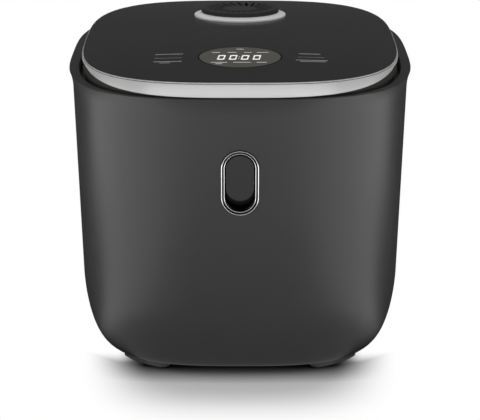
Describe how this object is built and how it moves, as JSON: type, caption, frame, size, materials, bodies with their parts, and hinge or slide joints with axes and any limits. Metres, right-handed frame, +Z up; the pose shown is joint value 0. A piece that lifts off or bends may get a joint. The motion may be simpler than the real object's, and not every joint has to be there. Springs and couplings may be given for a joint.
{
  "type": "electric rice cooker",
  "caption": "Oval electric rice cooker with a hinged crowned lid, display window, domed steam vent, front release button, removable pot, heater and latch",
  "frame": {"origin": "on the floor under the middle of the rim, on the underside of the foot pads", "axes": "+Z is up, the release button faces -Y, +X is to the right as seen from the front"},
  "size_m": [0.27, 0.3328, 0.2474],
  "materials": {
    "shell_plastic": "satin dark grey",
    "base_plastic": "moulded black",
    "foot_plastic": "moulded black",
    "pad_rubber": "soft matt black",
    "screw_steel": "zinc plated",
    "frame_plastic": "moulded dark grey",
    "housing_metal": "rolled sheet",
    "heater_wrap": "woven insulation band",
    "plate_aluminium": "turned casting",
    "element_steel": "heat darkened tube",
    "spacer_ceramic": "heat resisting",
    "spring_steel": "drawn wire",
    "pot_coating": "speckled non-stick coating",
    "board_laminate": "green circuit laminate",
    "inlet_plastic": "moulded black",
    "bracket_steel": "plated sheet",
    "pin_steel": "ground rod",
    "bright_chrome": "bright plated",
    "cup_plastic": "gloss black",
    "button_plastic": "satin dark grey",
    "latch_plastic": "natural white",
    "lid_plastic": "olive grey moulding",
    "satin_trim": "satin silver plating",
    "panel_plastic": "smooth dark grey",
    "gasket_rubber": "grey silicone",
    "inner_lid_metal": "spun sheet",
    "window_plastic": "smoked olive grey",
    "display_plastic": "dark display",
    "vent_plastic": "satin dark grey",
    "vent_cup_plastic": "moulded grey"
  },
  "bodies": {
    "body": {"outer_shell": "shell_plastic", "base_plate": "base_plastic", "foot_front_left": "foot_plastic", "foot_front_right": "foot_plastic", "foot_rear_left": "foot_plastic", "foot_rear_right": "foot_plastic", "foot_pad_front_left": "pad_rubber", "foot_pad_front_right": "pad_rubber", "foot_pad_rear_left": "pad_rubber", "foot_pad_rear_right": "pad_rubber", "base_screws": "screw_steel", "top_frame": "frame_plastic", "frame_screws": "screw_steel", "lid_bumpers": "pad_rubber", "inner_housing": "housing_metal", "side_heater": "heater_wrap", "heating_plate": "plate_aluminium", "heating_element": "element_steel", "plate_spacers": "spacer_ceramic", "sensor_sleeve": "frame_plastic", "sensor_spring": "spring_steel", "inner_pot": "pot_coating", "power_board": "board_laminate", "board_screws": "screw_steel", "power_inlet": "inlet_plastic", "inlet_screws": "screw_steel", "hinge_bracket": "bracket_steel", "hinge_screws": "screw_steel", "hinge_pin": "pin_steel", "hinge_spring": "spring_steel", "button_bezel": "bright_chrome", "button_trim": "bright_chrome", "button_cup": "cup_plastic", "latch_pin": "pin_steel", "latch_bracket": "bracket_steel", "latch_spring": "spring_steel"},
    "sensor": {"thermal_sensor": "plate_aluminium"},
    "button": {"release_button": "button_plastic"},
    "latch": {"latch_lever": "latch_plastic"},
    "lid": {"lid_base": "lid_plastic", "lid_trim": "satin_trim", "lid_panel": "panel_plastic", "lid_screws": "screw_steel", "lid_hook": "bracket_steel", "lid_gasket": "gasket_rubber", "inner_lid": "inner_lid_metal", "display_window": "window_plastic", "display_module": "display_plastic", "control_board": "board_laminate", "vent_ring": "satin_trim", "vent_body": "vent_cup_plastic", "vent_seal": "gasket_rubber"},
    "cap": {"vent_cap": "vent_plastic"}
  },
  "joints": [
    {"name": "lid_hinge", "type": "hinge", "parent": "body", "child": "lid", "pos_m": [0, 0.1545, 0.228], "axis": [-1, 0, 0], "range_deg": [0, 80]},
    {"name": "button_push", "type": "slide", "parent": "body", "child": "button", "axis": [0, 0.9995, 0.033], "range_m": [0, 0.004], "stiffness_N_per_m": 600},
    {"name": "latch_turn", "type": "hinge", "parent": "body", "child": "latch", "pos_m": [0, -0.141, 0.186], "axis": [1, 0, 0], "range_deg": [0, 9.2]},
    {"name": "sensor_plunge", "type": "slide", "parent": "body", "child": "sensor", "axis": [0, 0, -1], "range_m": [0, 0.002], "stiffness_N_per_m": 500, "deforming": ["sensor_spring"]},
    {"name": "cap_lift", "type": "slide", "parent": "lid", "child": "cap", "axis": [0, 0.0312, 0.9995], "range_m": [0, 0.025]}
  ],
  "couplings": [
    {"joint": "latch_turn", "follows": "button_push", "rad_per_m": 40}
  ]
}
